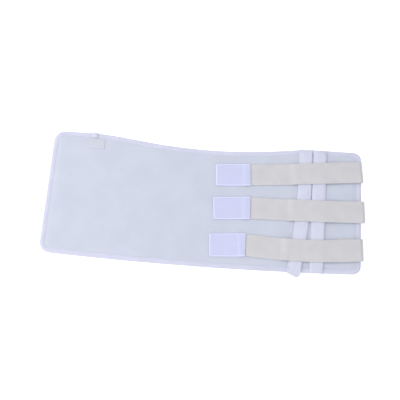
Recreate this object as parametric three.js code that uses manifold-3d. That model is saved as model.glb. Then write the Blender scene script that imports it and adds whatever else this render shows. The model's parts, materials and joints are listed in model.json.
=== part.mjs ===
// Soft wrap splint for the lower leg and ankle, laid open with its three straps folded back.
// Millimetres. +X runs along the wrap towards the strap end, +Y points to the scooped edge,
// and +Z comes out of the outer face. The origin is on the inner face, at the wrap's middle.
import * as THREE from 'three';
import { mergeVertices } from 'three/addons/utils/BufferGeometryUtils.js';
import Module from 'manifold-3d';

const wasm = await Module();
wasm.setup();

// Wrap: outline
const wrapLength = 565;
const farShoulderY = 115;         // scooped edge, at the plain end
const strapShoulderY = 111.3;     // scooped edge, at the strap end
const scoopStart = { x: -205, y: farShoulderY };
const scoopEnd = { x: 192, y: strapShoulderY };
const scoopFloor = { x: 15, y: 97 };
const strapSideHandles = [{ x: 150, y: 109 }, { x: 110, y: 98 }];
const farSideHandles = [{ x: -100, y: 98 }, { x: -130, y: 110.5 }];
const lowerCornerY = -113;
const lowerBow = 5.6;             // how far the lower edge bows out between its corners
const strapCornerRadius = 15;     // at the strap end
const plainCornerRadius = 20;     // at the plain end
const arcSteps = 10;
const samePointDistance = 0.01;
const weldDistance = 1e-5;
const cutMargin = 1;              // how far a cutting tool runs past the face that it opens

// Wrap: layers, from the inner face up
const wrapThickness = 5.6;
const clothThickness = 0.8;       // lining, outer laminate and binding tape
const layerGap = 0.3;
const bindingWidth = 8.5;

// Webbing sleeves and their stays
const sleeveWidth = 24.5;
const sleeveWall = 1.2;
const sleeveRoof = 0.7;
const sleeveLowZ = wrapThickness + layerGap;
const channelHighZ = 7.8;
const sleeveHighZ = channelHighZ + sleeveRoof;
const sleeveTopY = 109.5;
const sleeveClosedEnd = 3;
const sleeveMouthY = -111;        // past this a sleeve has its roof only
const sleeveSteps = 16;
const leftSleevePoints = [
  { x: 180.6, y: sleeveTopY },
  { x: 182.4, y: 20 },
  { x: 177.8, y: -40 },
  { x: 165.2, y: -114.2 },
];
const leftSleeveTail = [{ x: 153.4, y: -118.6 }, { x: 170.8, y: -126.2 }, { x: 175.8, y: -121.8 }];
const rightSleeveEnds = [{ x: 206.7, y: sleeveTopY }, { x: 204.5, y: -116 }];
const stays = [
  { side: 'left', x: 176.2, turnDeg: -4 },
  { side: 'right', x: 205.6, turnDeg: -0.6 },
];
const stayLength = 205;
const stayWidth = 13;
const stayThickness = 1.2;
const stayLowZ = 6.1;
const tipLength = 12;
const tipThickness = 1.6;
const tipCornerRadius = 3;
const tongueWidth = 7;
const tongueLength = 6;

// Straps
const bandWidth = 39.5;
const bandThickness = 1.5;
const anchorLength = 42;
const foldZ = 7.6;                // height of the fold's axis
const foldGap = 0.2;              // from the fold's axis to the layer above it and below it
const bandOverSleevesZ = sleeveHighZ + layerGap;
const bandOnWrapZ = 6.1;
const bandClimb = { from: 20, to: 58 };
const bandFall = { from: 134, to: 160 };
const bandSteps = 30;
const tabWidth = 41.2;
const tabThickness = 1.8;
const tabLowZ = 6.0;
const tabCornerRadius = 4;
const straps = [                  // a tab's length is from its band's end, where it lifts
  { foldX: 281.0, foldY: 72.8, slopeDeg: 5.0, bandLength: 209.9, tabLength: 53.2 },
  { foldX: 285.3, foldY: -1.3, slopeDeg: 2.4, bandLength: 210.9, tabLength: 56.1 },
  { foldX: 282.8, foldY: -69.8, slopeDeg: 2.1, bandLength: 213.4, tabLength: 53.8 },
];

// Small pieces on the wrap
const label = { x: -203, y: 94.5, width: 31, height: 20, thickness: 0.4, cornerRadius: 2 };
const overlap = { x: -207, length: 14 };

const palette = {
  laminate: { color: 0xcdd4e6, roughness: 0.95 },
  foam: { color: 0xe6e4dc, roughness: 1.0 },
  lining: { color: 0xe4e6ee, roughness: 0.95 },
  binding: { color: 0xdcdcf0, roughness: 0.9 },
  elastic: { color: 0xd2d0d6, roughness: 0.85 },
  hook: { color: 0xd2d6f4, roughness: 0.75 },
  webbing: { color: 0xd8daee, roughness: 0.85 },
  label: { color: 0xe8e8f0, roughness: 0.8 },
  stay: { color: 0xb9bcc2, roughness: 0.4, metalness: 0.9 },
  tip: { color: 0xd9d8d2, roughness: 0.6 },
};

const model = new THREE.Group();

function toVectors(points) {
  return points.map(({ x, y }) => new THREE.Vector2(x, y));
}

function addPiece(parent, name, geometry, finish) {
  const mesh = new THREE.Mesh(geometry, new THREE.MeshStandardMaterial(finish));
  mesh.name = name;
  parent.add(mesh);
}

function toSolid(geometry) {
  const bare = geometry.clone();
  bare.deleteAttribute('normal');
  bare.deleteAttribute('uv');
  const merged = mergeVertices(bare, weldDistance);
  return new wasm.Manifold(new wasm.Mesh({
    numProp: 3,
    vertProperties: merged.attributes.position.array,
    triVerts: new Uint32Array(merged.index.array),
  }));
}

function cut(geometry, ...tools) {
  let solid = toSolid(geometry);
  for (const tool of tools) {
    solid = solid.subtract(toSolid(tool));
  }
  const { vertProperties, triVerts } = solid.getMesh();
  const result = new THREE.BufferGeometry();
  result.setAttribute('position', new THREE.BufferAttribute(vertProperties, 3));
  result.setIndex(new THREE.BufferAttribute(triVerts, 1));
  result.computeVertexNormals();
  return result;
}

// A flat piece: an outline in plan, thickened from lowZ to highZ.
function slab(shape, lowZ, highZ) {
  const geometry = new THREE.ExtrudeGeometry(shape, {
    depth: highZ - lowZ,
    bevelEnabled: false,
    curveSegments: arcSteps,
  });
  return geometry.translate(0, 0, lowZ);
}

function rectangle(lowX, lowY, highX, highY) {
  return new THREE.Shape([
    new THREE.Vector2(lowX, lowY),
    new THREE.Vector2(highX, lowY),
    new THREE.Vector2(highX, highY),
    new THREE.Vector2(lowX, highY),
  ]);
}

function roundedRectangle(lowX, lowY, highX, highY, radius) {
  const shape = new THREE.Shape();
  shape.moveTo(lowX + radius, lowY);
  shape.absarc(highX - radius, lowY + radius, radius, -Math.PI / 2, 0);
  shape.absarc(highX - radius, highY - radius, radius, 0, Math.PI / 2);
  shape.absarc(lowX + radius, highY - radius, radius, Math.PI / 2, Math.PI);
  shape.absarc(lowX + radius, lowY + radius, radius, Math.PI, 1.5 * Math.PI);
  return shape;
}

function curveTo(path, [first, second], end) {
  path.bezierCurveTo(first.x, first.y, second.x, second.y, end.x, end.y);
}

// The wrap's edge, anticlockwise from the lower corner at the plain end.
function wrapEdge() {
  const endX = wrapLength / 2;
  const tight = strapCornerRadius;
  const round = plainCornerRadius;
  const edge = new THREE.Path();
  edge.moveTo(-endX + round, lowerCornerY);
  edge.quadraticCurveTo(0, lowerCornerY - 2 * lowerBow, endX - tight, lowerCornerY);
  edge.absarc(endX - tight, lowerCornerY + tight, tight, -Math.PI / 2, 0);
  edge.absarc(endX - tight, strapShoulderY - tight, tight, 0, Math.PI / 2);
  edge.lineTo(scoopEnd.x, scoopEnd.y);
  curveTo(edge, strapSideHandles, scoopFloor);
  curveTo(edge, farSideHandles, scoopStart);
  edge.absarc(-endX + round, farShoulderY - round, round, Math.PI / 2, Math.PI);
  edge.absarc(-endX + round, lowerCornerY + round, round, Math.PI, 1.5 * Math.PI);
  return edge;
}

function distinct(points) {
  return points.filter((point, i) => point.distanceTo(points.at(i - 1)) > samePointDistance);
}

// The wrap's edge moved in by a distance, mitred at each point.
function insetEdge(distance) {
  const edge = distinct(wrapEdge().getPoints(arcSteps));
  return edge.map((point, i) => {
    const before = point.clone().sub(edge.at(i - 1)).normalize();
    const after = edge[(i + 1) % edge.length].clone().sub(point).normalize();
    const inward = new THREE.Vector2(-before.y - after.y, before.x + after.x).normalize();
    const mitre = inward.dot(new THREE.Vector2(-before.y, before.x));
    return point.clone().addScaledVector(inward, distance / mitre);
  });
}

function ring(outerInset, innerInset) {
  const shape = new THREE.Shape(insetEdge(outerInset));
  shape.holes.push(new THREE.Path(insetEdge(innerInset)));
  return shape;
}

function addWrap() {
  const faceInset = bindingWidth + layerGap;
  const face = new THREE.Shape(insetEdge(faceInset));
  const core = new THREE.Shape(insetEdge(clothThickness + 2 * layerGap));
  const outerFaceZ = wrapThickness - clothThickness;
  addPiece(model, 'inner_lining', slab(face, 0, clothThickness), palette.lining);
  addPiece(model, 'foam_core',
    slab(core, clothThickness + layerGap, outerFaceZ - layerGap), palette.foam);
  addPiece(model, 'outer_laminate', slab(face, outerFaceZ, wrapThickness), palette.laminate);

  // The binding is a tape folded round the edge: a ring with a U section, open to the foam.
  const tape = slab(ring(0, bindingWidth), 0, wrapThickness);
  const fold = slab(ring(clothThickness, bindingWidth + cutMargin), clothThickness, outerFaceZ);
  addPiece(model, 'edge_binding', cut(tape, fold), palette.binding);
}

// Where the binding's end laps over its start: a short second layer on top and round the edge.
function addBindingOverlap() {
  const low = overlap.x - overlap.length / 2;
  const high = overlap.x + overlap.length / 2;
  const edgeY = farShoulderY + layerGap;
  const lap = rectangle(low, farShoulderY - bindingWidth, high, edgeY + clothThickness);
  const underLap = rectangle(low - cutMargin, farShoulderY - bindingWidth - cutMargin,
    high + cutMargin, edgeY);
  const lapHighZ = sleeveLowZ + clothThickness;
  addPiece(model, 'binding_overlap',
    cut(slab(lap, layerGap, lapHighZ), slab(underLap, 0, sleeveLowZ)), palette.binding);
}

function addLabel() {
  const shape = roundedRectangle(label.x - label.width / 2, label.y - label.height / 2,
    label.x + label.width / 2, label.y + label.height / 2, label.cornerRadius);
  addPiece(model, 'care_label', slab(shape, sleeveLowZ, sleeveLowZ + label.thickness), palette.label);
}

// A strip of even width along a line in plan, with an end of its own shape.
function strip(line, width, from, endPoints) {
  const left = [];
  const right = [];
  for (let step = 0; step <= sleeveSteps; step += 1) {
    const t = from + (1 - from) * step / sleeveSteps;
    const middle = line.getPoint(t);
    const along = line.getTangent(t);
    const across = new THREE.Vector2(-along.y, along.x).multiplyScalar(width / 2);
    left.push(middle.clone().sub(across));
    right.push(middle.clone().add(across));
  }
  return new THREE.Shape([...left, ...endPoints, ...right.reverse()]);
}

// A sleeve is webbing sewn down along both sides over its stay. It is closed at the scooped
// edge and open at the lower edge, where the stay slides out.
function addSleeve(name, line, tail) {
  const outline = strip(line, sleeveWidth, 0, tail);
  const channelStart = sleeveClosedEnd / line.getLength();
  const channel = strip(line, sleeveWidth - 2 * sleeveWall, channelStart, []);
  const pastMouth = rectangle(0, 2 * sleeveMouthY, wrapLength, sleeveMouthY);
  const sleeve = cut(
    slab(outline, sleeveLowZ, sleeveHighZ),
    slab(channel, 0, channelHighZ),
    slab(pastMouth, 0, channelHighZ),
  );
  addPiece(model, name, sleeve, palette.webbing);
}

// A stay is a flat metal bar with a tongue at each end, held in a moulded tip.
function addStay({ side, x, turnDeg }) {
  const group = new THREE.Group();
  group.position.set(x, 0, 0);
  group.rotation.z = THREE.MathUtils.degToRad(turnDeg);
  model.add(group);

  const barEndY = stayLength / 2 - tipLength;
  const tongueEndY = barEndY + tongueLength;
  const bar = slab(rectangle(-stayWidth / 2, -tongueEndY, stayWidth / 2, tongueEndY),
    stayLowZ, stayLowZ + stayThickness);
  const corners = [];
  for (const sideSign of [-1, 1]) {
    for (const endSign of [-1, 1]) {
      const innerX = sideSign * tongueWidth / 2;
      const outerX = sideSign * stayWidth;
      const innerY = endSign * barEndY;
      const outerY = endSign * stayLength / 2;
      corners.push(slab(rectangle(Math.min(innerX, outerX), Math.min(innerY, outerY),
        Math.max(innerX, outerX), Math.max(innerY, outerY)), 0, channelHighZ));
    }
  }
  addPiece(group, `stay_${side}`, cut(bar, ...corners), palette.stay);

  const tipLowZ = stayLowZ - (tipThickness - stayThickness) / 2;
  for (const [end, endSign] of [['upper', 1], ['lower', -1]]) {
    const holder = new THREE.Group();
    holder.rotation.z = endSign > 0 ? 0 : Math.PI;
    group.add(holder);
    const tip = roundedRectangle(-stayWidth / 2, barEndY + layerGap,
      stayWidth / 2, stayLength / 2, tipCornerRadius);
    const notchHalf = tongueWidth / 2 + layerGap;
    const notch = rectangle(-notchHalf, barEndY, notchHalf, tongueEndY + layerGap);
    addPiece(holder, `stay_tip_${side}_${end}`,
      cut(slab(tip, tipLowZ, tipLowZ + tipThickness), slab(notch, 0, channelHighZ)), palette.tip);
  }
}

// Height of a strap's underside at a distance from its fold: it climbs over the sleeves and
// comes down to the wrap beyond them.
function bandUnderside(distance) {
  const { smoothstep } = THREE.MathUtils;
  const atFold = foldZ + foldGap;
  const climb = smoothstep(distance, bandClimb.from, bandClimb.to) * (bandOverSleevesZ - atFold);
  const fall = smoothstep(distance, bandFall.from, bandFall.to) * (bandOverSleevesZ - bandOnWrapZ);
  return atFold + climb - fall;
}

// A strap stands in its own group, whose origin is on the fold and whose -X runs to the tab.
function addStrap(strap, number) {
  const group = new THREE.Group();
  group.position.set(strap.foldX, strap.foldY, 0);
  group.rotation.z = THREE.MathUtils.degToRad(strap.slopeDeg);
  model.add(group);

  const anchor = rectangle(-anchorLength, -bandWidth / 2, -foldGap, bandWidth / 2);
  const anchorHighZ = foldZ - foldGap;
  addPiece(group, `strap_anchor_${number}`,
    slab(anchor, anchorHighZ - bandThickness, anchorHighZ), palette.elastic);

  const under = [];
  const over = [];
  for (let step = 0; step <= bandSteps; step += 1) {
    const distance = foldGap + (strap.bandLength - layerGap - foldGap) * step / bandSteps;
    const height = bandUnderside(distance);
    under.push(new THREE.Vector2(-distance, height));
    over.push(new THREE.Vector2(-distance, height + bandThickness));
  }
  const band = new THREE.ExtrudeGeometry(new THREE.Shape([...under, ...over.reverse()]), {
    depth: bandWidth,
    bevelEnabled: false,
  });
  band.rotateX(Math.PI / 2).translate(0, bandWidth / 2, 0);
  addPiece(group, `strap_${number}`, band, palette.elastic);

  const tab = roundedRectangle(-strap.bandLength - strap.tabLength, -tabWidth / 2,
    -strap.bandLength, tabWidth / 2, tabCornerRadius);
  addPiece(group, `hook_tab_${number}`, slab(tab, tabLowZ, tabLowZ + tabThickness), palette.hook);
}

addWrap();
addBindingOverlap();
addLabel();

const leftSleeveLine = new THREE.CubicBezierCurve(...toVectors(leftSleevePoints));
const rightSleeveLine = new THREE.LineCurve(...toVectors(rightSleeveEnds));
addSleeve('stay_sleeve_left', leftSleeveLine, toVectors(leftSleeveTail));
addSleeve('stay_sleeve_right', rightSleeveLine, []);
stays.forEach(addStay);
straps.forEach((strap, i) => addStrap(strap, i + 1));

export default model;
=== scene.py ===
"""Soft wrap splint, laid open with its straps folded back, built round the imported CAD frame."""

import json
import math

import bpy
import numpy as np
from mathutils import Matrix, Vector


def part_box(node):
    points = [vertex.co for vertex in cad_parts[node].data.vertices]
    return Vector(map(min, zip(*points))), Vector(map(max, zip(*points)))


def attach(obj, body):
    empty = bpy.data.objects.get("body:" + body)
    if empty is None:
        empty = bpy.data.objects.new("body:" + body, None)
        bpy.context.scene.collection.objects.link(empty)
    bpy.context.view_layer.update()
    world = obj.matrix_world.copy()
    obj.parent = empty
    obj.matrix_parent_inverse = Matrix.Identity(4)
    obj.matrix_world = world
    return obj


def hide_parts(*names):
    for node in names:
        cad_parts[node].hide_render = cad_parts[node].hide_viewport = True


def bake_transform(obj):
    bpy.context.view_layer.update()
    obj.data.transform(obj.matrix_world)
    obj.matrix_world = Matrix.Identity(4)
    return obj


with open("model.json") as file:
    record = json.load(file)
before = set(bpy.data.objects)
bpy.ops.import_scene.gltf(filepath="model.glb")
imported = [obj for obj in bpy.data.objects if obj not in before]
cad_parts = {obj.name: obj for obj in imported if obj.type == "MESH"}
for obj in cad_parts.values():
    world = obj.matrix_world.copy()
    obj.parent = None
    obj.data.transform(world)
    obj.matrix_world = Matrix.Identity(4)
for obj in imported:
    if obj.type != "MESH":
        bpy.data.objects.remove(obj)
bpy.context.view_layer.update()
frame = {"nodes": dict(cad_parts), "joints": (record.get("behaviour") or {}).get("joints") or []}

MM = 0.001


# ---------------------------------------------------------------- camera, light and floor

def add_camera():
    """Looks down at 75 degrees, with the wrap turned a little clockwise in the view."""
    elevation = math.radians(75.0)
    turn = math.radians(4.17)
    distance = 1.094
    lens, sensor_width = 54.7, 36.0
    target = Vector((-6.0, 2.4, 0.0)) * MM
    heading = Vector((-math.sin(turn), math.cos(turn), 0.0))
    forward = heading * math.cos(elevation) - Vector((0, 0, math.sin(elevation)))
    data = bpy.data.cameras.new("camera")
    data.lens = lens
    data.sensor_width = sensor_width
    camera = bpy.data.objects.new("camera", data)
    camera.location = target - forward * distance
    camera.rotation_euler = forward.to_track_quat("-Z", "Y").to_euler()
    bpy.context.collection.objects.link(camera)
    bpy.context.scene.camera = camera


def add_area_light(name, location, size, power):
    data = bpy.data.lights.new(name, "AREA")
    data.size = size
    data.energy = power
    light = bpy.data.objects.new(name, data)
    light.location = location
    light.rotation_euler = (-Vector(location)).to_track_quat("-Z", "Y").to_euler()
    bpy.context.collection.objects.link(light)


def add_world():
    world = bpy.data.worlds.new("studio")
    world.use_nodes = True
    background = world.node_tree.nodes["Background"]
    background.inputs["Color"].default_value = (0.97, 0.985, 1.0, 1.0)
    background.inputs["Strength"].default_value = 0.92
    bpy.context.scene.world = world
    bpy.context.scene.view_settings.view_transform = "Standard"


def add_floor():
    material, _, shader = new_material("floor", color=(0.93, 0.93, 0.94), roughness=0.85)
    shader.inputs["Emission Color"].default_value = (1.0, 1.0, 1.0, 1.0)
    shader.inputs["Emission Strength"].default_value = 0.28
    half, level = 4.0, -0.1 * MM
    corners = [(-half, -half, level), (half, -half, level), (half, half, level), (-half, half, level)]
    mesh = bpy.data.meshes.new("floor")
    mesh.from_pydata(corners, [], [(0, 1, 2, 3)])
    floor = bpy.data.objects.new("floor", mesh)
    floor.data.materials.append(material)
    bpy.context.collection.objects.link(floor)


# ---------------------------------------------------------------- material building blocks

def new_material(name, color, roughness, metallic=0.0, sheen=0.0, specular=0.25):
    material = bpy.data.materials.new(name)
    material.use_nodes = True
    tree = material.node_tree
    shader = tree.nodes["Principled BSDF"]
    shader.inputs["Base Color"].default_value = (*color, 1.0)
    shader.inputs["Roughness"].default_value = roughness
    shader.inputs["Metallic"].default_value = metallic
    shader.inputs["Sheen Weight"].default_value = sheen
    shader.inputs["Specular IOR Level"].default_value = specular
    return material, tree, shader


def feed(tree, socket, value):
    if isinstance(value, bpy.types.NodeSocket):
        tree.links.new(value, socket)
    else:
        socket.default_value = value


def calc(tree, operation, first, second=0.0, third=None):
    node = tree.nodes.new("ShaderNodeMath")
    node.operation = operation
    feed(tree, node.inputs[0], first)
    feed(tree, node.inputs[1], second)
    if third is not None:
        feed(tree, node.inputs[2], third)
    return node.outputs[0]


def surface_uv(tree):
    """The piece's own lengthwise and crosswise distances, in metres."""
    uv = tree.nodes.new("ShaderNodeUVMap")
    uv.uv_map = "weave"
    parts = tree.nodes.new("ShaderNodeSeparateXYZ")
    tree.links.new(uv.outputs[0], parts.inputs[0])
    return uv.outputs[0], parts.outputs[0], parts.outputs[1]


def noise(tree, vector, size, detail=2.0, stretch=None):
    """Noise whose lumps are about size metres across."""
    texture = tree.nodes.new("ShaderNodeTexNoise")
    texture.inputs["Scale"].default_value = 1.0 / size
    texture.inputs["Detail"].default_value = detail
    if stretch is not None:
        mapping = tree.nodes.new("ShaderNodeMapping")
        mapping.inputs["Scale"].default_value = stretch
        tree.links.new(vector, mapping.inputs["Vector"])
        vector = mapping.outputs[0]
    tree.links.new(vector, texture.inputs["Vector"])
    return texture.outputs["Fac"]


def wave(tree, distance, period, shift=0.0):
    """A rounded ridge every period metres: 0 in the groove, 1 on the crest."""
    turns = calc(tree, "MULTIPLY_ADD", distance, math.pi / period, shift)
    return calc(tree, "ABSOLUTE", calc(tree, "SINE", turns))


def mix_color(tree, factor, first, second):
    node = tree.nodes.new("ShaderNodeMix")
    node.data_type = "RGBA"
    feed(tree, node.inputs["Factor"], factor)
    for socket, value in ((node.inputs["A"], first), (node.inputs["B"], second)):
        if isinstance(value, tuple):
            socket.default_value = (*value, 1.0)
        else:
            tree.links.new(value, socket)
    return node.outputs["Result"]


def ramp(tree, value, low, high):
    """0 below low, 1 above high, smooth between."""
    node = tree.nodes.new("ShaderNodeMapRange")
    node.interpolation_type = "SMOOTHSTEP"
    node.inputs["From Min"].default_value = low
    node.inputs["From Max"].default_value = high
    feed(tree, node.inputs["Value"], value)
    return node.outputs[0]


def bump(tree, shader, height, depth):
    node = tree.nodes.new("ShaderNodeBump")
    node.inputs["Distance"].default_value = depth
    tree.links.new(height, node.inputs["Height"])
    tree.links.new(node.outputs[0], shader.inputs["Normal"])


def shade(color, factor):
    return tuple(min(1.0, c * factor) for c in color)


# ---------------------------------------------------------------- materials

# base colours
LAMINATE = (0.496, 0.524, 0.611)
LINING = (0.70, 0.72, 0.78)
FOAM = (0.72, 0.71, 0.67)
BINDING = (0.560, 0.565, 0.688)
ELASTIC = (0.551, 0.542, 0.564)
HOOK = (0.599, 0.614, 0.835)
WEBBING = (0.554, 0.558, 0.674)
THREAD = (0.642, 0.654, 0.780)
LABEL = (0.502, 0.514, 0.583)
METAL = (0.62, 0.63, 0.66)
PLASTIC = (0.66, 0.66, 0.64)


def loop_cloth(name, color, pile=0.9 * MM):
    """Brushed loop pile: fine tufts in faint courses, with soft mottling where it's been stroked, and
    painted shade in the hollows between the tufts.
    """
    fleck_share, hollow_shade_share, course_share = 0.28, 0.3, 0.3
    material, tree, shader = new_material(name, color, roughness=0.95, sheen=0.25)
    shader.inputs["Sheen Roughness"].default_value = 0.6
    uv, _, across = surface_uv(tree)
    tufts = noise(tree, uv, pile, detail=3.0)
    courses = wave(tree, across, period=1.3 * MM)
    stroked = ramp(tree, noise(tree, uv, size=45 * MM), low=0.35, high=0.65)
    flecks = noise(tree, uv, size=6 * MM, detail=3.0, stretch=(0.5, 1.6, 1.0))
    # painted shade: the pile is darkened where the tufts are low, standing in for the shade in its
    # hollows
    hollow_shade = ramp(tree, tufts, low=0.55, high=0.3)
    tone = mix_color(tree, stroked, shade(color, 0.975), shade(color, 1.02))
    tone = mix_color(tree, calc(tree, "MULTIPLY", flecks, fleck_share), tone, shade(color, 0.93))
    tone = mix_color(tree, calc(tree, "MULTIPLY", hollow_shade, hollow_shade_share), tone, shade(color, 0.84))
    tree.links.new(tone, shader.inputs["Base Color"])
    bump(tree, shader, calc(tree, "MULTIPLY_ADD", courses, course_share, tufts), depth=0.35 * MM)
    return material


def ribbed_cloth(name, color, rib, pick, depth, roughness, groove):
    """Woven tape: ridges along it, crossed by finer picks that step from ridge to ridge, with painted
    shade in the grooves; groove sets how dark that painted shade is.
    """
    pick_share, fuzz_share = 0.45, 0.35
    material, tree, shader = new_material(name, color, roughness, sheen=0.12)
    uv, along, across = surface_uv(tree)
    ribs = wave(tree, across, rib)
    step = calc(tree, "MULTIPLY", calc(tree, "FLOOR", calc(tree, "DIVIDE", across, rib)), math.pi / 2)
    picks = wave(tree, along, pick, step)
    fuzz = noise(tree, uv, size=0.8 * MM)
    wear = ramp(tree, noise(tree, uv, size=28 * MM), low=0.3, high=0.7)
    height = calc(tree, "MULTIPLY_ADD", picks, pick_share, ribs)
    height = calc(tree, "MULTIPLY_ADD", fuzz, fuzz_share, height)
    tone = mix_color(tree, wear, shade(color, 0.97), shade(color, 1.03))
    # painted shade: the colour is darkened by the groove factor where the weave is low
    tone = mix_color(tree, ramp(tree, height, low=0.75, high=0.25), tone, shade(color, groove))
    tree.links.new(tone, shader.inputs["Base Color"])
    bump(tree, shader, height, depth)
    return material


def hook_cloth(name, color, length, half_width, rim_width):
    """Hook tape: rows of small hooks inside a flat selvage, with painted shade between the hooks and
    their tops painted a little lighter.
    """
    wear_share, grain_share = 0.3, 0.4
    rim_end = 0.7 * rim_width
    material, tree, shader = new_material(name, color, roughness=0.62, sheen=0.05)
    uv, along, across = surface_uv(tree)
    rows = wave(tree, across, period=1.5 * MM)
    steps = wave(tree, along, period=1.9 * MM)
    hooks = calc(tree, "MULTIPLY", rows, steps)
    grain = noise(tree, uv, size=0.7 * MM)
    wear = noise(tree, uv, size=18 * MM)
    side = ramp(tree, calc(tree, "ABSOLUTE", across), half_width - rim_width, half_width - rim_end)
    end = ramp(tree, along, length - rim_width, length - rim_end)
    rim = calc(tree, "MAXIMUM", side, end)
    field = calc(tree, "SUBTRACT", 1.0, rim)
    # painted shade between the hooks and a painted highlight on their tops, following the hooks' relief
    tone = mix_color(tree, ramp(tree, hooks, low=0.1, high=0.6), shade(color, 0.90), shade(color, 1.04))
    tone = mix_color(tree, calc(tree, "MULTIPLY", wear, wear_share), tone, shade(color, 0.95))
    tone = mix_color(tree, rim, tone, color)
    tree.links.new(tone, shader.inputs["Base Color"])
    raised = calc(tree, "MULTIPLY_ADD", grain, grain_share, hooks)
    bump(tree, shader, calc(tree, "MULTIPLY", raised, field), depth=0.5 * MM)
    return material


def foam_cloth(name, color):
    """Open-cell foam: small rounded pits."""
    cell_size = 0.9 * MM
    material, tree, shader = new_material(name, color, roughness=1.0)
    uv, _, _ = surface_uv(tree)
    cells = tree.nodes.new("ShaderNodeTexVoronoi")
    cells.inputs["Scale"].default_value = 1.0 / cell_size
    tree.links.new(uv, cells.inputs["Vector"])
    tone = mix_color(tree, cells.outputs["Distance"], color, shade(color, 0.8))
    tree.links.new(tone, shader.inputs["Base Color"])
    bump(tree, shader, cells.outputs["Distance"], depth=0.2 * MM)
    return material


def thread_material(name, color):
    """Sewing thread: plies twisted round it, with painted shade in the grooves between them."""
    material, tree, shader = new_material(name, color, roughness=0.55, sheen=0.1)
    _, along, across = surface_uv(tree)
    twist = wave(tree, calc(tree, "ADD", along, across), period=0.5 * MM)
    # painted shade: darker where the twist is low, in the grooves between the plies
    tone = mix_color(tree, twist, shade(color, 0.85), color)
    tree.links.new(tone, shader.inputs["Base Color"])
    bump(tree, shader, twist, depth=0.08 * MM)
    return material


def object_position(tree):
    coordinates = tree.nodes.new("ShaderNodeTexCoord")
    return coordinates.outputs["Object"]


def brushed_metal(name, color):
    """Flat metal bar, brushed along its length."""
    smoothest, scratch_share = 0.26, 0.2
    material, tree, shader = new_material(name, color, roughness=0.36, metallic=1.0, specular=0.5)
    scratches = noise(tree, object_position(tree), size=1.0 * MM, detail=3.0, stretch=(1.0, 0.03, 1.0))
    tone = mix_color(tree, scratches, shade(color, 0.8), shade(color, 1.15))
    tree.links.new(tone, shader.inputs["Base Color"])
    rough = calc(tree, "MULTIPLY_ADD", scratches, scratch_share, smoothest)
    tree.links.new(rough, shader.inputs["Roughness"])
    bump(tree, shader, scratches, depth=0.04 * MM)
    return material


def moulded_plastic(name, color):
    """Finely grained plastic with light scuffs."""
    material, tree, shader = new_material(name, color, roughness=0.5)
    grain = noise(tree, object_position(tree), size=0.5 * MM)
    scuffs = noise(tree, object_position(tree), size=5 * MM, detail=3.0)
    tone = mix_color(tree, scuffs, shade(color, 0.9), shade(color, 1.05))
    tree.links.new(tone, shader.inputs["Base Color"])
    bump(tree, shader, grain, depth=0.06 * MM)
    return material


def label_cloth(name, color):
    """Satin woven tape, left blank."""
    satin_share = 0.2
    material, tree, shader = new_material(name, color, roughness=0.8, sheen=0.2)
    uv, along, _ = surface_uv(tree)
    satin = wave(tree, along, period=0.6 * MM)
    wear = noise(tree, uv, size=5 * MM, detail=3.0)
    tone = mix_color(tree, wear, shade(color, 0.95), shade(color, 1.05))
    tone = mix_color(tree, calc(tree, "MULTIPLY", satin, satin_share), tone, shade(color, 0.9))
    tree.links.new(tone, shader.inputs["Base Color"])
    bump(tree, shader, satin, depth=0.06 * MM)
    return material


# ---------------------------------------------------------------- mesh building blocks

def signed_volume(points, faces):
    corners = [(f[0], f[k], f[k + 1]) for f in faces for k in range(1, len(f) - 1)]
    a, b, c = (points[list(column)] for column in zip(*corners))
    return float(np.einsum("ij,ij->i", a, np.cross(b, c)).sum()) / 6


def make_piece(name, points, faces, uv, material, body, replaces=()):
    """A smooth mesh piece in the row frame. points are in millimetres, uv one pair a point."""
    points = np.asarray(points, float)
    if signed_volume(points, faces) < 0:
        faces = [tuple(reversed(face)) for face in faces]
    mesh = bpy.data.meshes.new(name)
    mesh.from_pydata((points * MM).tolist(), [], faces)
    mesh.polygons.foreach_set("use_smooth", [True] * len(mesh.polygons))
    layer = mesh.uv_layers.new(name="weave")
    loops = np.zeros(len(mesh.loops), np.int32)
    mesh.loops.foreach_get("vertex_index", loops)
    layer.data.foreach_set("uv", (np.asarray(uv, float)[loops] * MM).astype(np.float32).ravel())
    mesh.validate()
    piece = bpy.data.objects.new(name, mesh)
    piece.data.materials.append(material)
    bpy.context.collection.objects.link(piece)
    if body is not None:
        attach(piece, body)
    if replaces:
        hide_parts(*replaces)
    return piece


def grid_faces(rows, columns, start=0, flip=False, wrap_rows=False, wrap_columns=False):
    faces = []
    for i in range(rows if wrap_rows else rows - 1):
        for j in range(columns if wrap_columns else columns - 1):
            a = start + i * columns + j
            b = start + ((i + 1) % rows) * columns + j
            c = start + ((i + 1) % rows) * columns + (j + 1) % columns
            d = start + i * columns + (j + 1) % columns
            faces.append((a, d, c, b) if flip else (a, b, c, d))
    return faces


def tube(sections, closed=False):
    """Joins rings of equal length into one closed surface, capped at both ends unless closed."""
    rings, size = sections.shape[:2]
    faces = grid_faces(rings, size, wrap_rows=closed, wrap_columns=True)
    if not closed:
        faces.append(tuple(range(size)))
        faces.append(tuple(reversed(range((rings - 1) * size, rings * size))))
    return sections.reshape(-1, 3), faces


def layer_solid(top, bottom):
    """A closed solid between two height grids of the same plan. Rows run along X, columns along Y."""
    rows, columns = top.shape[:2]
    under = rows * columns
    faces = grid_faces(rows, columns) + grid_faces(rows, columns, under, flip=True)
    edge = [(i, 0) for i in range(rows)] + [(rows - 1, j) for j in range(1, columns)]
    edge += [(i, columns - 1) for i in range(rows - 2, -1, -1)]
    edge += [(0, j) for j in range(columns - 2, 0, -1)]
    loop = [i * columns + j for i, j in edge]
    for a, b in zip(loop, loop[1:] + loop[:1]):
        faces.append((b, a, a + under, b + under))
    points = np.concatenate([top.reshape(-1, 3), bottom.reshape(-1, 3)])
    return points, faces


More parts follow.
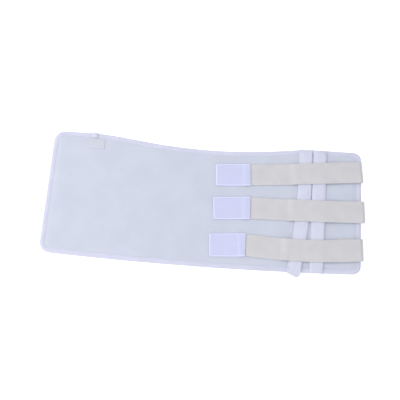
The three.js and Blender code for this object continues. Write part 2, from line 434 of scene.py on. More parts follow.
def ease(value):
    """A smooth step from 0 to 1 while value goes from 0 to 1."""
    value = np.clip(value, 0.0, 1.0)
    return value * value * (3.0 - 2.0 * value)


def rising(value, start, reach):
    """0 up to start, then a smooth climb to 1 over reach."""
    return ease((value - start) / reach)


def falling(value, end, reach):
    """A smooth drop from 1 to 0 that takes reach and is over at end."""
    return ease((end - value) / reach)


def ripple(x, y, length, seed, count=9):
    """Smooth random hills about length millimetres apart, from -1 to 1."""
    rng = np.random.default_rng(seed)
    total = np.zeros_like(np.asarray(x, float))
    for _ in range(count):
        angle, phase = rng.uniform(0, 2 * math.pi, 2)
        reach = 2 * math.pi / (length * rng.uniform(0.7, 1.5))
        total = total + np.sin(reach * (x * math.cos(angle) + y * math.sin(angle)) + phase)
    return total / math.sqrt(2.0 * count)


# ---------------------------------------------------------------- the wrap's outline

BINDING_BOX = [np.array(corner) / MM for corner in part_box("edge_binding")]
HALF_LENGTH = BINDING_BOX[1][0]
FAR_SHOULDER_Y = BINDING_BOX[1][1]
SHOULDER_STEP = 3.7      # how much lower the strap end's shoulder is than the plain end's
SCOOP_X = 15.0
SCOOP_DEPTH = 18.0
STRAP_SHOULDER_Y = FAR_SHOULDER_Y - SHOULDER_STEP
SCOOP_Y = FAR_SHOULDER_Y - SCOOP_DEPTH
LOWER_BOW = 5.6          # how far the lower edge bows out between its corners
LOWER_CORNER_Y = BINDING_BOX[0][1] + LOWER_BOW
STRAP_CORNER = 15.0      # corner radius at the strap end
PLAIN_CORNER = 20.0      # corner radius at the plain end
SCOOP_STRAP_SIDE = [(192, STRAP_SHOULDER_Y), (150, STRAP_SHOULDER_Y - 2.3),
                    (110, SCOOP_Y + 1), (SCOOP_X, SCOOP_Y)]
SCOOP_PLAIN_SIDE = [(SCOOP_X, SCOOP_Y), (-100, SCOOP_Y + 1),
                    (-130, FAR_SHOULDER_Y - 4.5), (-205, FAR_SHOULDER_Y)]
CURVE_STEPS = 120
LOWER_STEPS = 200
TINY = 1e-6


def bezier(points, steps):
    a, b, c, d = (np.array(p, float) for p in points)
    t = np.linspace(0, 1, steps)[:, None]
    return a * (1 - t) ** 3 + 3 * b * t * (1 - t) ** 2 + 3 * c * t * t * (1 - t) + d * t ** 3


def arc(centre_x, centre_y, radius, start, end, steps=40):
    t = np.radians(np.linspace(start, end, steps))
    return np.stack([centre_x + radius * np.cos(t), centre_y + radius * np.sin(t)], axis=1)


def outline(step=1.2):
    """The wrap's edge, anticlockwise, as evenly spaced points with inward normals."""
    plain_x = PLAIN_CORNER - HALF_LENGTH
    strap_x = HALF_LENGTH - STRAP_CORNER
    share = np.linspace(0, 1, LOWER_STEPS)
    bow = 4 * LOWER_BOW * share * (1 - share)
    lower = np.stack([plain_x + (strap_x - plain_x) * share, LOWER_CORNER_Y - bow], axis=1)
    strap_side = bezier(SCOOP_STRAP_SIDE, CURVE_STEPS)
    far_side = bezier(SCOOP_PLAIN_SIDE, CURVE_STEPS)
    rough = np.concatenate([
        lower,
        arc(strap_x, LOWER_CORNER_Y + STRAP_CORNER, STRAP_CORNER, -90, 0),
        arc(strap_x, STRAP_SHOULDER_Y - STRAP_CORNER, STRAP_CORNER, 0, 90),
        strap_side,
        far_side[1:],
        arc(plain_x, FAR_SHOULDER_Y - PLAIN_CORNER, PLAIN_CORNER, 90, 180),
        arc(plain_x, LOWER_CORNER_Y + PLAIN_CORNER, PLAIN_CORNER, 180, 270),
    ])
    loop = np.concatenate([rough, rough[:1]])
    gaps = np.linalg.norm(np.diff(loop, axis=0), axis=1)
    travelled = np.concatenate([[0], np.cumsum(gaps)])
    count = int(travelled[-1] / step)
    at = np.linspace(0, travelled[-1], count, endpoint=False)
    points = np.stack([np.interp(at, travelled, loop[:, k]) for k in (0, 1)], axis=1)
    along = np.roll(points, -2, axis=0) - np.roll(points, 2, axis=0)
    along /= np.linalg.norm(along, axis=1)[:, None]
    inward = np.stack([-along[:, 1], along[:, 0]], axis=1)
    return points, inward, at


EDGE, EDGE_INWARD, EDGE_AT = outline()
FINE_EDGE = outline(step=0.6)[0]


def edge_distance(x, y):
    """Distance from points to the wrap's edge, in millimetres."""
    flat = np.stack([np.ravel(x), np.ravel(y)], axis=1)
    nearest = np.empty(len(flat))
    block = 1500
    for i in range(0, len(flat), block):
        gap = flat[i:i + block, None, :] - FINE_EDGE[None]
        nearest[i:i + block] = np.sqrt((gap ** 2).sum(axis=2).min(axis=1))
    return nearest.reshape(np.shape(x))


def inset_span(x, inset):
    """Lowest and highest Y of the wrap at each X, moved in from its edge."""
    lower = EDGE[EDGE[:, 1] < LOWER_CORNER_Y + TINY]
    lower = lower[np.argsort(lower[:, 0])]
    upper = EDGE[EDGE[:, 1] > SCOOP_Y - TINY]
    upper = upper[np.argsort(upper[:, 0])]
    low = np.interp(x, lower[:, 0], lower[:, 1]) + inset
    high = np.interp(x, upper[:, 0], upper[:, 1])
    shoulder = np.where(x > 0, STRAP_SHOULDER_Y, FAR_SHOULDER_Y)
    corner = np.where(x > 0, STRAP_CORNER, PLAIN_CORNER)
    near_end = np.abs(x) > HALF_LENGTH - corner
    low = np.where(near_end, LOWER_CORNER_Y + inset, low)
    high = np.where(near_end, shoulder, high) - inset
    radius = corner - inset
    past = np.clip(np.abs(x) - (HALF_LENGTH - corner), 0, radius)
    drop = radius - np.sqrt(np.maximum(radius ** 2 - past ** 2, 0))
    return low + drop, high - drop


# ---------------------------------------------------------------- the wrap's surfaces

PINCHED = 4.44        # top of the laminate under the binding
FULL = 5.62           # top of the laminate away from its edge
CLOTH = 0.7
CLOTH_GAP = 0.03      # between the foam and each cloth on it
UNDER_BINDING = 4.6   # how far in from the wrap's edge the cloths and the foam start
EDGE_LIFT = 0.78      # height of the lining where it lies on the binding's lower side
BROAD_HILLS = 0.08
OPEN_SIDE_HILLS = 0.22     # added where no straps hold the wrap flat
SMALL_HILLS = 0.05
PUCKERS = 0.06
UNDERSIDE_PUCKERS = 0.12


def wrap_top(x, y, distance):
    """Height of the laminate: pinched at the binding, full inside, with faint hills."""
    swell = rising(distance, start=6.0, reach=12.0)
    open_side = falling(x, end=60.0, reach=120.0)
    hills = ripple(x, y, length=95, seed=3) * (BROAD_HILLS + OPEN_SIDE_HILLS * open_side)
    hills = hills + ripple(x, y, length=38, seed=5) * SMALL_HILLS
    near_edge = rising(distance, start=5, reach=3) * falling(distance, end=26, reach=16)
    puckers = ripple(x, y, length=11, seed=8) * PUCKERS * near_edge
    calm = rising(distance, start=8, reach=30)
    return PINCHED + (FULL - PINCHED) * swell + hills * calm + puckers


def wrap_bottom(x, y, distance):
    """Height of the lining: flat inside, raised over the binding's lower side."""
    lift = EDGE_LIFT * (1 - rising(distance, start=6.0, reach=9.0))
    near_edge = rising(distance, start=5, reach=3) * falling(distance, end=22, reach=12)
    puckers = np.abs(ripple(x, y, length=12, seed=18)) * UNDERSIDE_PUCKERS * near_edge
    return lift + puckers


def graded(low, high, fine, coarse, border):
    """Positions from low to high, close together within border of each end."""
    rim = np.arange(0, border, fine)
    middle_count = max(2, int((high - low - 2 * border) / coarse))
    middle = np.linspace(low + border, high - border, middle_count)
    return np.concatenate([low + rim, middle, high - rim[::-1]])


def wrap_grid(inset):
    """Plan positions over the wrap, following its edge at the given inset."""
    limit = HALF_LENGTH - inset
    plain, strap = PLAIN_CORNER - inset, STRAP_CORNER - inset
    corner_steps = 10
    turn = 1 - np.cos(np.linspace(0, math.pi / 2, corner_steps)[:-1])
    body = graded(-limit + plain, limit - strap, fine=1.6, coarse=3.0, border=16)
    x = np.concatenate([-limit + plain * turn, body, limit - strap * turn[::-1]])
    low, high = inset_span(x, inset)
    width = 230
    share = graded(0, width, fine=1.5, coarse=3.0, border=18) / width
    y = low[:, None] + (high - low)[:, None] * share[None, :]
    return np.repeat(x[:, None], len(share), axis=1), y


def add_wrap():
    """The laminate's cloth, the foam and the lining, one over the other."""
    x, y = wrap_grid(UNDER_BINDING)
    distance = edge_distance(x, y)
    plan = np.stack([x.ravel(), y.ravel()], axis=1)
    uv = np.concatenate([plan, plan])

    def heights(z):
        return np.stack([x, y, z], axis=2)

    top = wrap_top(x, y, distance)
    bottom = wrap_bottom(x, y, distance)
    points, faces = layer_solid(heights(top), heights(top - CLOTH))
    face = make_piece("outer_cloth", points, faces, uv, loop_cloth("loop_laminate", LAMINATE),
                      "wrap", ["outer_laminate"])
    cover = CLOTH + CLOTH_GAP
    points, faces = layer_solid(heights(top - cover), heights(bottom + cover))
    foam = make_piece("foam_body", points, faces, uv, foam_cloth("open_foam", FOAM),
                      "wrap", ["foam_core"])
    points, faces = layer_solid(heights(bottom + CLOTH), heights(bottom))
    lining = make_piece("inner_cloth", points, faces, uv,
                        loop_cloth("soft_lining", LINING, pile=0.6 * MM),
                        "wrap", ["inner_lining"])


# ---------------------------------------------------------------- the binding

# Its section: distance in from the edge, height. Anticlockwise from its lower inner lip.
BINDING_SECTION = [
    (8.6, 0.02), (6.5, 0.0), (4.5, 0.0), (2.6, 0.08), (1.3, 0.5), (0.45, 1.3), (0.0, 2.4),
    (0.45, 3.5), (1.3, 4.3), (2.6, 4.78), (4.5, 4.95), (6.2, 4.92), (6.9, 4.76), (7.4, 4.72),
    (7.9, 4.80), (8.5, 4.78), (8.75, 4.6), (8.75, 4.25), (8.5, 4.05), (7.2, 4.02), (4.6, 4.12),
    (2.9, 3.85), (1.7, 3.3), (1.25, 2.4), (1.7, 1.5), (2.9, 0.92), (4.6, 0.74), (8.6, 0.72),
    (8.78, 0.55), (8.78, 0.2),
]
BINDING_MIDDLE = (4.4, 2.45)
GATHER, WANDER = 0.11, 0.08              # heights of the tape's short and slow unevenness
LIP_GATHER, LIP_WANDER = 0.10, 0.25      # how far its inner lip strays in plan
LAP_SWELL = 0.55     # how much bigger the lap is than the binding inside it
LAP_BUNCH = 1.1      # added at the lap's middle, where its cloth bunches up
BUNCH_REACH = 3.2


def tape_ripples(points):
    """The binding's short gathers and its slow wander along the edge, from -1 to 1."""
    x, y = points[:, 0], points[:, 1]
    return ripple(x, y, length=9, seed=21), ripple(x, y, length=34, seed=22)


def binding_sections(points, inward, swell=0.0):
    """Rings of the folded tape at each point of the edge, slightly gathered along its inner lip."""
    section = np.array(BINDING_SECTION)
    mid_depth, mid_height = BINDING_MIDDLE
    gather, wander = tape_ripples(points)
    swells = np.broadcast_to(swell, len(points))
    lip = ease(section[:, 0] / 8)
    crown = rising(section[:, 1], start=2.4, reach=2.0) * ease(section[:, 0] / 3)
    rings = []
    for (px, py), (nx, ny), g, w, extra in zip(points, inward, gather, wander, swells):
        depth = section[:, 0] + (w * LIP_WANDER + g * LIP_GATHER) * lip
        height = section[:, 1] + (g * GATHER + w * WANDER) * crown
        if extra > 0:
            depth = mid_depth + (depth - mid_depth) * (1 + extra / mid_depth)
            height = mid_height + (height - mid_height) * (1 + extra / mid_height)
            height = np.maximum(height, 0.0)
        rings.append(np.stack([px + nx * depth, py + ny * depth, height], axis=1))
    return np.array(rings)


def section_uv(at):
    """Each ring's place along the edge and, round its section, the length of tape so far."""
    gaps = np.linalg.norm(np.diff(np.array(BINDING_SECTION), axis=0), axis=1)
    across = np.tile(np.concatenate([[0], np.cumsum(gaps)]), len(at))
    return np.stack([np.repeat(at, len(BINDING_SECTION)), across], axis=1)


def add_binding():
    # groove: how dark the painted shade in the binding tape's grooves is
    tape = ribbed_cloth("binding_tape", BINDING, rib=1.5 * MM, pick=1.1 * MM, depth=0.22 * MM,
                        roughness=0.85, groove=0.9)
    points, faces = tube(binding_sections(EDGE, EDGE_INWARD), closed=True)
    make_piece("binding", points, faces, section_uv(EDGE_AT), tape,
               "wrap", ["edge_binding"])
    low, high = (np.array(c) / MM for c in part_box("binding_overlap"))
    lap = (EDGE[:, 0] > low[0]) & (EDGE[:, 0] < high[0]) & (EDGE[:, 1] > 0)
    bunched = np.exp(-((EDGE[lap, 0] - (low[0] + high[0]) / 2) / BUNCH_REACH) ** 2)
    swell = LAP_SWELL + LAP_BUNCH * bunched
    points, faces = tube(binding_sections(EDGE[lap], EDGE_INWARD[lap], swell))
    make_piece("binding_lap", points, faces, section_uv(EDGE_AT[lap]), tape,
               "wrap", ["binding_overlap"])


LABEL_TOP = 0.32      # over the laminate
LABEL_CLOTH = 0.26


def add_label(cloth):
    low, high = (np.array(c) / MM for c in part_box("care_label"))
    columns, rows = 26, 22
    x, y = np.meshgrid(np.linspace(low[0], high[0], columns), np.linspace(low[1], high[1], rows),
                       indexing="ij")
    top = wrap_top(x, y, edge_distance(x, y)) + LABEL_TOP
    bottom = top - LABEL_CLOTH
    points, faces = layer_solid(np.stack([x, y, top], axis=2), np.stack([x, y, bottom], axis=2))
    plan = np.stack([x.ravel(), y.ravel()], axis=1)
    make_piece("label_patch", points, faces, np.concatenate([plan, plan]), cloth,
               "wrap", ["care_label"])


# ---------------------------------------------------------------- tapes with rounded sides

SIDES = 23
CROWDING = math.pi / 2 * 0.92      # brings the points closer together towards a tape's sides
SHARES = np.sin(np.linspace(-1, 1, SIDES) * CROWDING) / math.sin(CROWDING)
SQUARENESS = 24
THINNEST = 0.12
BODY = np.sqrt(np.clip(1 - np.abs(SHARES) ** SQUARENESS, THINNEST, 1))


def tape_ring(centre, across, normal, half_width, thickness, lift=0.0):
    """A closed ring across a tape whose sides are rounded over."""
    offset = (SHARES * half_width)[:, None] * across
    half = thickness / 2 * BODY
    upper = centre + offset + (half + lift)[:, None] * normal
    lower = centre + offset + (lift - half)[:, None] * normal
    return np.concatenate([upper, lower[::-1]])


def ring_uv(along, half_width):
    across = np.concatenate([SHARES, SHARES[::-1]]) * half_width
    return np.stack([np.full(len(across), along), across], axis=1)


def add_tape(name, rings, uvs, material, body, replaces=()):
    points, faces = tube(np.array(rings))
    return make_piece(name, points, faces, np.concatenate(uvs), material, body, replaces)


# ---------------------------------------------------------------- stitches

THREAD_RADIUS = 0.24


def add_stitches(name, rows, body):
    """Each row is (points, directions, normals): one stitch at each point, dipping in at both ends."""
    length, sides = 2.5, 6
    reach = np.array([-0.5, -0.4, -0.15, 0.15, 0.4, 0.5]) * length
    radius = np.array([0.35, 0.8, 1.0, 1.0, 0.8, 0.35]) * THREAD_RADIUS
    arch = np.array([-0.22, -0.02, 0.10, 0.10, -0.02, -0.22])
    turn = np.linspace(0, 2 * math.pi, sides, endpoint=False)
    stitch_uv = np.stack([np.repeat(reach, sides), np.tile(turn * THREAD_RADIUS, len(reach))],
                         axis=1)
    points, faces, uvs = [], [], []
    count = 0
    for row_points, row_directions, row_normals in rows:
        for point, direction, normal in zip(row_points, row_directions, row_normals):
            side = np.cross(direction, normal)
            rings = []
            for a, r, h in zip(reach, radius, arch):
                spin = np.cos(turn)[:, None] * side + np.sin(turn)[:, None] * normal
                rings.append(point + direction * a + normal * h + spin * r)
            ring_points, ring_faces = tube(np.array(rings))
            points.append(ring_points)
            faces += [tuple(i + count for i in face) for face in ring_faces]
            uvs.append(stitch_uv)
            count += len(ring_points)
    return make_piece(name, np.concatenate(points), faces, np.concatenate(uvs), THREADS, body)


def along_line(points, pitch=3.2, trim=1.6):
    """Evenly spaced places on a polyline in space, with the line's direction there."""
    gaps = np.linalg.norm(np.diff(points, axis=0), axis=1)
    travelled = np.concatenate([[0], np.cumsum(gaps)])
    at = np.arange(trim, travelled[-1] - trim + TINY, pitch)

    def places(spots):
        return np.stack([np.interp(spots, travelled, points[:, k]) for k in range(3)], axis=1)

    nearby = 0.5
    direction = places(at + nearby) - places(at - nearby)
    return places(at), direction / np.linalg.norm(direction, axis=1)[:, None]


def flat_row(points, upward=1.0, pitch=3.2):
    place, direction = along_line(np.asarray(points, float), pitch)
    return place, direction, np.tile([0.0, 0.0, upward], (len(place), 1))


def add_binding_stitches():
    """One row round the top and one round the underside, near the binding's inner lip."""
    depth, top, underside = 7.4, 4.72, 0.34
    line = EDGE + EDGE_INWARD * depth
    gather, wander = tape_ripples(EDGE)
    rows = []
    for z, upward in ((top + gather * GATHER + wander * WANDER, 1.0),
                      (np.full(len(EDGE), underside), -1.0)):
        loop = np.concatenate([np.column_stack([line, z]), [[*line[0], z[0]]]])
        rows.append(flat_row(loop, upward))
    add_stitches("binding_stitches", rows, "wrap")


# ---------------------------------------------------------------- sleeves

SLEEVE_HALF = 12.25
SLEEVE_CLOTH = 0.7
ROOF = 8.48           # top of a sleeve over its stay
SEWN_EDGE = 2.1       # height of a sleeve's side over what it stands on
SEWN_WIDTH = 2.2      # how much of a sleeve's side is sewn down
SEAM_INSET = 1.7
SLEEVE_RIPPLE = 0.05
ON_BINDING = 5.0      # height on which a sleeve lies over the binding
ONTO_LAMINATE = 0.74  # how much higher it lies on the laminate
SLEEVE_TOP_Y = 109.5
MOUTH_Y = -111.0
SLEEVE_STEPS, TAIL_STEPS = 116, 13
RIGHT_LINE = ((206.7, SLEEVE_TOP_Y), (204.5, -116.0))
LEFT_CURVE = [(180.6, SLEEVE_TOP_Y), (182.4, 20), (177.8, -40), (165.2, -114.2)]
TAIL_LEFT_SIDE = [(153.4, -118.6), (169.8, -125.8)]
TAIL_RIGHT_SIDE = [(175.8, -121.8), (172.0, -125.3)]
# how far the upper face drops towards the lower one near a sleeve's sides
ROUNDED = np.interp(np.abs(SHARES), [0.93, 0.975, 1.0], [0.0, 0.16, 0.75])


def cover_height(x, y):
    """Height on which a stiff tape lies: over the binding, then on the laminate."""
    low, high = inset_span(np.asarray(x, float), 0.0)
    distance = edge_distance(x, y) * np.where((y < low) | (y > high), -1.0, 1.0)
    return ON_BINDING + ONTO_LAMINATE * rising(distance, start=6, reach=12)


def follow(corners, steps):
    """Evenly spaced steps along a short polyline."""
    corners = np.array(corners, float)
    share = np.linspace(0, len(corners) - 1, steps)
    return np.stack([np.interp(share, range(len(corners)), corners[:, k]) for k in (0, 1)], axis=1)


def sleeve_sides(side):
    """The two long edges of a sleeve, from the scooped edge down."""
    if side == "right":
        line = np.linspace(*RIGHT_LINE, SLEEVE_STEPS)
    else:
        line = bezier(LEFT_CURVE, SLEEVE_STEPS)
    along = np.gradient(line, axis=0)
    along /= np.linalg.norm(along, axis=1)[:, None]
    across = np.stack([-along[:, 1], along[:, 0]], axis=1)
    left, right = line - across * SLEEVE_HALF, line + across * SLEEVE_HALF
    if side == "left":
        left = np.concatenate([left, follow([left[-1], *TAIL_LEFT_SIDE], TAIL_STEPS)[1:]])
        right = np.concatenate([right, follow([right[-1], *TAIL_RIGHT_SIDE], TAIL_STEPS)[1:]])
    return left, right


def add_sleeve(side, cloth):
    """A sleeve: hollow over its stay and sewn down along both sides."""
    left, right = sleeve_sides(side)
    ends = [np.mean([np.array(c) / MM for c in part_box(f"stay_tip_{side}_{end}")], axis=0)
            for end in ("upper", "lower")]
    rings, uvs, seams = [], [], ([], [])
    travelled = 0.0
    for k, (a, b) in enumerate(zip(left, right)):
        centre = (a + b) / 2
        if k:
            travelled += np.linalg.norm(centre - (left[k - 1] + right[k - 1]) / 2)
        half = np.linalg.norm(b - a) / 2
        unit = (b - a) / (2 * half)
        spots = centre + (SHARES * half)[:, None] * unit
        base = cover_height(spots[:, 0], spots[:, 1])
        stay_x = np.interp(centre[1], [ends[1][1], ends[0][1]], [ends[1][0], ends[0][0]])
        inside = falling(centre[1], end=109.0, reach=6.0)
        ridge = falling(np.abs(spots[:, 0] - stay_x), end=11.8, reach=4.6) * inside
        loose = falling(centre[1], end=MOUTH_Y + 2.0, reach=4.0) * (side == "left")
        sewn = base + SLEEVE_CLOTH + (SEWN_EDGE - SLEEVE_CLOTH) * inside
        sewn += ripple(spots[:, 0], spots[:, 1], length=30, seed=31) * SLEEVE_RIPPLE
        roof = sewn + (ROOF - sewn) * np.maximum(ridge, loose)
        hollow = np.abs(SHARES * half) < half - SEWN_WIDTH
        lower = np.where(hollow, roof - SLEEVE_CLOTH, base + (roof - SLEEVE_CLOTH - base) * loose)
        upper = roof - (roof - lower) * ROUNDED
        rings.append(np.concatenate([np.column_stack([spots, upper]),
                                     np.column_stack([spots, lower])[::-1]]))
        uvs.append(ring_uv(travelled, half))
        if MOUTH_Y + 3 < centre[1] < SLEEVE_TOP_Y - 2:
            for seam, sign in zip(seams, (-1, 1)):
                offset = sign * (half - SEAM_INSET)
                seam.append([*(centre + unit * offset), np.interp(offset, SHARES * half, upper)])
    add_tape(f"sleeve_{side}", rings, uvs, cloth, "wrap", [f"stay_sleeve_{side}"])
    rows = [flat_row(seam) for seam in seams]
    middle = (left[0] + right[0])[0] / 2
    reach = SLEEVE_HALF - 2.5
    for below in (2.6, 5.0):
        y, z = SLEEVE_TOP_Y - below, rings[int(below / 2)][SIDES // 2][2] + 0.02
        rows.append(flat_row([[middle - reach, y, z], [middle + reach, y, z]], pitch=2.7))
    add_stitches(f"sleeve_stitches_{side}", rows, "wrap")


# ---------------------------------------------------------------- straps

BAND_HALF = 19.75
BAND_CLOTH = 1.15
TAB_HALF = 20.6
TAB_CLOTH = 1.25
TAB_OVER_BAND = 10.0
ANCHOR_LENGTH = 42.0
TAB_CORNER, ROOT_CORNER = 4.0, 1.5
TAB_RIM = 2.4             # width of the tab's flat rim
TAB_RIM_DROP = 0.3
TAB_CLEARANCE = 0.3       # between the band and the tab sewn over it
TAB_CURL = 0.7            # how far a tab's free end lifts
FOLD_REACH = 2.1
FOLD_GAP = 0.2            # from the fold's axis to the layer over it and to the one under it
FOLD_CLOTH = 5.0          # length of tape round the fold
SEAM_THINNING = 0.3       # how much the band is flattened under the tab
BAND_UNEVEN, SIDE_CURL = 0.07, 0.10
# along each strap, where it comes off the sleeves
PAST_SLEEVES = {1: 117.0, 2: 122.0, 3: 129.0}
ON_WRAP = 6.1
OVER_SLEEVES = np.array(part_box("stay_sleeve_right")[1])[2] / MM + 0.3
# how each strap lies: its sideways bow, its tab's turn in degrees, its tab's length past the band
STRAP_LIES = {1: (-0.8, -1.1, 53.2), 2: (-1.5, 1.9, 56.1), 3: (-5.6, 2.0, 53.8)}


class Strap:
    """A strap's own directions: s runs from its fold towards its tab, v across, z up."""

    def __init__(self, number):
        joints = {joint["name"]: joint for joint in frame["joints"]}
        fold, lift = joints[f"strap_fold_{number}"], joints[f"tab_lift_{number}"]
        self.number = number
        self.fold = np.array(fold["pos_m"]) / MM
        self.across = np.array(fold["axis"])
        self.inward = np.array([-self.across[1], self.across[0], 0.0])
        self.length = np.linalg.norm((np.array(lift["pos_m"]) / MM - self.fold)[:2])
        self.seam = self.length - TAB_OVER_BAND
        self.bow, self.turn, past_band = STRAP_LIES[number]
        self.tab_length = TAB_OVER_BAND + past_band
        self.rise = self.tab_length * math.tan(math.radians(self.turn))

    def sideways(self, s):
        on_band = self.bow * np.sin(math.pi * min(s, self.seam) / self.seam)
        on_band += self.rise * ease(s / self.seam)
        return on_band - max(0.0, s - self.seam) * math.tan(math.radians(self.turn))

    def centre(self, s, z):
        place = self.fold + self.inward * s + self.across * self.sideways(s)
        return np.array([place[0], place[1], z])

    def crosswise(self, s):
        """Square to the strap's own line, but along the fold's axis at the fold."""
        along = self.centre(s + 1, 0) - self.centre(s - 1, 0)
        along /= np.linalg.norm(along)
        turned = np.array([along[1], -along[0], 0.0])
        return self.across + (turned - self.across) * ease(s / 4)

    def underside(self, s):
        """Height of the free layer's underside: up over the sleeves, then down to the wrap."""
        at_fold = self.fold[2] + FOLD_GAP
        climb = rising(s, start=20, reach=38) * (OVER_SLEEVES - at_fold)
        drop = rising(s, start=PAST_SLEEVES[self.number], reach=15) * (OVER_SLEEVES - ON_WRAP)
        uneven = 1 + ripple(s, self.number * 70.0, length=60, seed=41)
        return at_fold + climb - drop + BAND_UNEVEN * uneven * ease(s / 30)


UP = np.array([0.0, 0.0, 1.0])


def add_band(strap, elastic):
    """The strap's anchor, its fold and its free layer."""
    number = strap.number
    mid_low = strap.fold[2] - FOLD_GAP - BAND_CLOTH / 2
    mid_high = strap.underside(0.0) + BAND_CLOTH / 2
    rings, uvs = [], []
    for s in np.arange(0, ANCHOR_LENGTH + 0.1, 2.0):
        rings.append(tape_ring(strap.fold + strap.inward * s - UP * (strap.fold[2] - mid_low),
                               strap.across, UP, BAND_HALF, BAND_CLOTH))
        uvs.append(ring_uv(-s - FOLD_CLOTH, BAND_HALF))
    add_tape(f"band_anchor_{number}", rings, uvs, elastic, "wrap",
             [f"strap_anchor_{number}"])

    rings, uvs = [], []
    middle = np.array([strap.fold[0], strap.fold[1], (mid_high + mid_low) / 2])
    reach = (mid_high - mid_low) / 2
    for angle in np.linspace(0, math.pi, 15):
        up, out = -math.cos(angle) * UP, -math.sin(angle) * strap.inward
        rings.append(tape_ring(middle + up * reach + out * FOLD_REACH, -strap.across, up + out,
                               BAND_HALF, BAND_CLOTH))
        uvs.append(ring_uv(FOLD_CLOTH * (angle / math.pi - 1), BAND_HALF))
    fold = add_tape(f"band_fold_{number}", rings, uvs, elastic, None)
    low, high = Vector(strap.fold * MM), Vector(strap.fold * MM)
    low.z, high.z = (mid_low - BAND_CLOTH / 2) * MM, (mid_high + BAND_CLOTH / 2) * MM
    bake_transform(fold)

    rings, uvs = [], []
    for s in np.linspace(0.05, strap.length, 108):
        thickness = BAND_CLOTH - SEAM_THINNING * rising(s, start=strap.seam - 6, reach=6)
        centre = strap.centre(s, strap.underside(s) + thickness / 2)
        uneven = ripple(s, number * 31.0, length=48, seed=43)
        curl = SIDE_CURL * uneven * SHARES ** 3 * ease(s / 25)
        rings.append(tape_ring(centre, strap.crosswise(s), UP, BAND_HALF, thickness,
                               lift=curl * falling(s, end=strap.seam, reach=20)))
        uvs.append(ring_uv(s, BAND_HALF))
    add_tape(f"band_{number}", rings, uvs, elastic, f"strap_{number}",
             [f"strap_{number}"])


def add_anchor_stitches(strap):
    """A sewn box with a cross in it, under the folded strap."""
    sunk = 0.08
    half = BAND_HALF - 3.5
    near, far = 4, ANCHOR_LENGTH - 4
    corners = []
    for s, v in ((near, -half), (far, -half), (far, half), (near, half)):
        spot = strap.fold + strap.inward * s + strap.across * v
        corners.append([spot[0], spot[1], strap.fold[2] - FOLD_GAP - sunk])
    lines = list(zip(corners, corners[1:] + corners[:1]))
    lines += [(corners[0], corners[2]), (corners[1], corners[3])]
    rows = [flat_row(line, pitch=3.0) for line in lines]
    add_stitches(f"anchor_stitches_{strap.number}", rows, "wrap")


def tab_underside(strap, s):
    """Height of the tab's underside: on the band, then on the wrap, its end lifting a little."""
    over_band = ON_WRAP + BAND_CLOTH - SEAM_THINNING + TAB_CLEARANCE
    drop = rising(s, start=strap.length - 0.5, reach=6.0) * (over_band - ON_WRAP)
    curl = TAB_CURL * rising(s, start=strap.length + 30, reach=30)
    return over_band - drop + curl


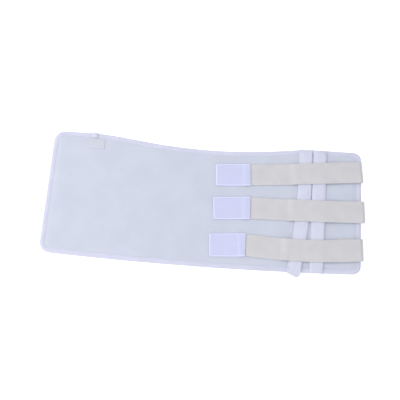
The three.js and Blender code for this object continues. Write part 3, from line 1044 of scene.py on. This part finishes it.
def add_tab(strap, hook):
    """The hook tape on the strap's end, with rounded corners and a thinner rim."""
    number = strap.number
    end = strap.seam + strap.tab_length
    root, corner = ROOT_CORNER, TAB_CORNER
    near_root = strap.seam + root * (1 - np.cos(np.linspace(0, math.pi / 2, 4)[:-1]))
    middle = np.arange(strap.seam + root, end - corner, 1.5)
    near_end = end - corner + corner * np.sin(np.linspace(0, math.pi / 2, 8))
    rings, uvs = [], []
    for s in np.concatenate([near_root, middle, near_end]):
        past = np.clip(s - (end - corner), 0, corner)
        before = np.clip(strap.seam + root - s, 0, root)
        half = TAB_HALF - (corner - math.sqrt(max(0.0, corner ** 2 - past ** 2)))
        half -= root - math.sqrt(max(0.0, root ** 2 - before ** 2))
        rim = ease(np.abs(SHARES) * half - TAB_HALF + TAB_RIM)
        rim = np.maximum(rim, ease(s - end + TAB_RIM))
        centre = strap.centre(s, tab_underside(strap, s) + TAB_CLOTH / 2)
        ring = tape_ring(centre, strap.crosswise(s), UP, half, TAB_CLOTH)
        ring[:SIDES, 2] -= TAB_RIM_DROP * rim * BODY
        rings.append(ring)
        uvs.append(ring_uv(s - strap.seam, half))
    tab = add_tape(f"tab_{number}", rings, uvs, hook, None, [f"hook_tab_{number}"])
    start = Vector(strap.centre(strap.length - 3.0, 0.0) * MM)
    finish = Vector(strap.centre(strap.length + 4.0, 0.0) * MM)
    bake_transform(tab)

    def on_tab(s, v):
        return strap.centre(s, tab_underside(strap, s) + TAB_CLOTH) + strap.crosswise(s) * v

    first, last = strap.seam + 1.6, strap.seam + 8.0
    reach, side = TAB_HALF - 3.2, TAB_HALF - 3.0
    lines = [[on_tab(s, -reach), on_tab(s, reach)] for s in (first, last)]
    lines += [[on_tab(first, v), on_tab(last, v)] for v in (-side, side)]
    rows = [flat_row(line, pitch=2.9) for line in lines]
    add_stitches(f"tab_stitches_{number}", rows, f"strap_{number}")


# ---------------------------------------------------------------- carried-over nodes

def dress_stays():
    """The stays and their tips keep their CAD shapes and get new materials."""
    metal = brushed_metal("brushed_stay", METAL)
    plastic = moulded_plastic("moulded_tip", PLASTIC)
    for side in ("left", "right"):
        frame["nodes"][f"stay_{side}"].data.materials.clear()
        frame["nodes"][f"stay_{side}"].data.materials.append(metal)
        for end in ("upper", "lower"):
            tip = frame["nodes"][f"stay_tip_{side}_{end}"]
            tip.data.materials.clear()
            tip.data.materials.append(plastic)


# ---------------------------------------------------------------- the whole splint

add_camera()
add_world()
add_area_light("key", location=(-1.50, 0.05, 1.05), size=1.4, power=11.2)
add_area_light("overhead", location=(-0.75, -0.1, 1.7), size=1.8, power=8.9)
add_area_light("front_fill", location=(-0.7, -1.40, 1.05), size=1.4, power=5.0)
add_floor()
THREADS = thread_material("sewing_thread", THREAD)
add_wrap()
add_binding()
add_binding_stitches()
add_label(label_cloth("woven_label", LABEL))
# groove: how dark the painted shade in the webbing's grooves is
webbing = ribbed_cloth("ribbed_webbing", WEBBING, rib=2.6 * MM, pick=1.5 * MM, depth=0.20 * MM,
                       roughness=0.8, groove=0.95)
for side in ("left", "right"):
    add_sleeve(side, webbing)
# groove: how dark the painted shade in the elastic's grooves is
elastic = ribbed_cloth("ribbed_elastic", ELASTIC, rib=1.7 * MM, pick=1.2 * MM, depth=0.28 * MM,
                       roughness=0.85, groove=0.9)
for number in STRAP_LIES:
    strap = Strap(number)
    hook = hook_cloth(f"hook_tape_{number}", HOOK, strap.tab_length * MM, TAB_HALF * MM, TAB_RIM * MM)
    add_band(strap, elastic)
    add_anchor_stitches(strap)
    add_tab(strap, hook)
dress_stays()
